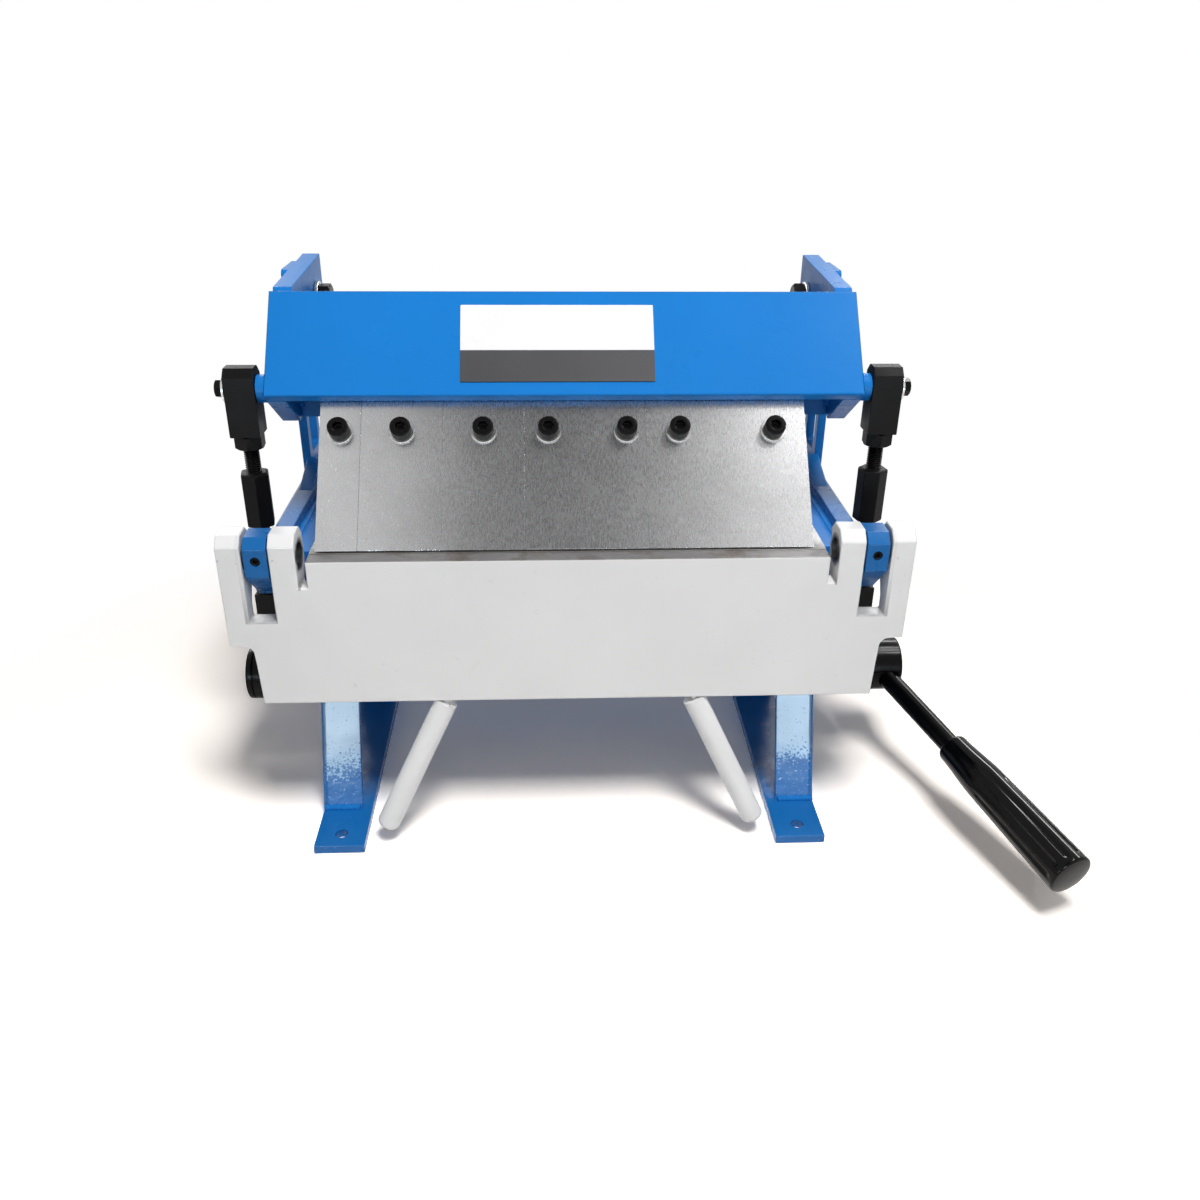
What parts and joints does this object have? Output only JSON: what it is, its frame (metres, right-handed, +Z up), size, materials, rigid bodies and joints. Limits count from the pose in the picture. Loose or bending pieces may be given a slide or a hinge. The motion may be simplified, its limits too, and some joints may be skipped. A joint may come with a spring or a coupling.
{
  "type": "manual sheet metal folder",
  "caption": "Bench folder that clamps sheet metal under a lever-worked beam with removable fingers and bends it with a hinged leaf.",
  "frame": {"origin": "on the bench, under the feet, in the centre of the rectangle of the four foot holes", "axes": "+X to the right along the bend line, seen from the bending leaf's side, +Y from the leaf to the rear, +Z up"},
  "size_m": [0.5364, 0.3496, 0.342],
  "materials": {
    "base_blue": "gloss",
    "leaf_white": "semi gloss",
    "bare_steel": "machined",
    "finger_steel": "ground",
    "zinc": "zinc plated",
    "black_oxide": "black oxide",
    "grip_black": "gloss",
    "bronze": "plain",
    "label_white": "printed"
  },
  "bodies": {
    "frame": {"base_cross_plate": "base_blue", "bed_bar": "bare_steel", "bed_bolts": "black_oxide", "side_plate_left": "base_blue", "post_left": "base_blue", "post_gusset_left": "base_blue", "foot_bar_left": "base_blue", "leg_front_left": "base_blue", "leg_rear_left": "base_blue", "shaft_hanger_left": "base_blue", "side_plate_right": "base_blue", "post_right": "base_blue", "post_gusset_right": "base_blue", "foot_bar_right": "base_blue", "leg_front_right": "base_blue", "leg_rear_right": "base_blue", "shaft_hanger_right": "base_blue", "shaft_bushes": "bronze", "hinge_pins": "bare_steel", "nose_screws": "black_oxide", "beam_pivot_bolts": "black_oxide", "beam_pivot_washers": "bare_steel"},
    "leaf": {"bending_leaf": "leaf_white", "ear_bushes": "bare_steel", "leaf_handle_left": "leaf_white", "leaf_handle_right": "leaf_white"},
    "beam": {"finger_1": "finger_steel", "finger_2": "finger_steel", "finger_3": "finger_steel", "finger_4": "finger_steel", "finger_5": "finger_steel", "finger_bar": "bare_steel", "finger_washers": "zinc", "finger_screws": "black_oxide", "bar_bolts": "black_oxide", "beam_cross_plate": "base_blue", "beam_apron": "base_blue", "beam_arm_left": "base_blue", "beam_arm_right": "base_blue", "label_plate": "label_white", "tie_pivots": "base_blue", "tie_washers": "zinc", "tie_screws": "black_oxide"},
    "tie_rod_left": {"tie_block_left": "black_oxide", "tie_nuts_left": "black_oxide", "tie_studs_left": "black_oxide", "tie_coupling_left": "black_oxide", "tie_eye_left": "black_oxide"},
    "tie_rod_right": {"tie_block_right": "black_oxide", "tie_nuts_right": "black_oxide", "tie_studs_right": "black_oxide", "tie_coupling_right": "black_oxide", "tie_eye_right": "black_oxide"},
    "clamp": {"clamp_shaft": "bare_steel", "end_disc": "black_oxide", "lever_hub": "black_oxide", "lever_rod": "black_oxide", "lever_grip": "grip_black"}
  },
  "joints": [
    {"name": "leaf_hinge", "type": "hinge", "parent": "frame", "child": "leaf", "pos_m": [0, -0.098, 0.2], "axis": [-1, 0, 0], "range_deg": [0, 115]},
    {"name": "clamp_lever_turn", "type": "hinge", "parent": "frame", "child": "clamp", "pos_m": [0, -0.01881, 0.0723], "axis": [-1, 0, 0], "range_deg": [0, 70]},
    {"name": "beam_lift", "type": "hinge", "parent": "frame", "child": "beam", "pos_m": [0, 0.089, 0.315], "axis": [-1, 0, 0], "range_deg": [0, 5.8]},
    {"name": "tie_rod_left_swing", "type": "hinge", "parent": "beam", "child": "tie_rod_left", "pos_m": [-0.2033, -0.027, 0.282], "axis": [-1, 0, 0], "range_deg": [-6.4, 0]},
    {"name": "tie_rod_right_swing", "type": "hinge", "parent": "beam", "child": "tie_rod_right", "pos_m": [0.2033, -0.027, 0.282], "axis": [-1, 0, 0], "range_deg": [-6.4, 0]}
  ],
  "couplings": [
    {"joint": "beam_lift", "follows": "clamp_lever_turn", "ratio": 0.08007},
    {"joint": "tie_rod_left_swing", "follows": "clamp_lever_turn", "ratio": -0.08586},
    {"joint": "tie_rod_right_swing", "follows": "clamp_lever_turn", "ratio": -0.08586}
  ]
}
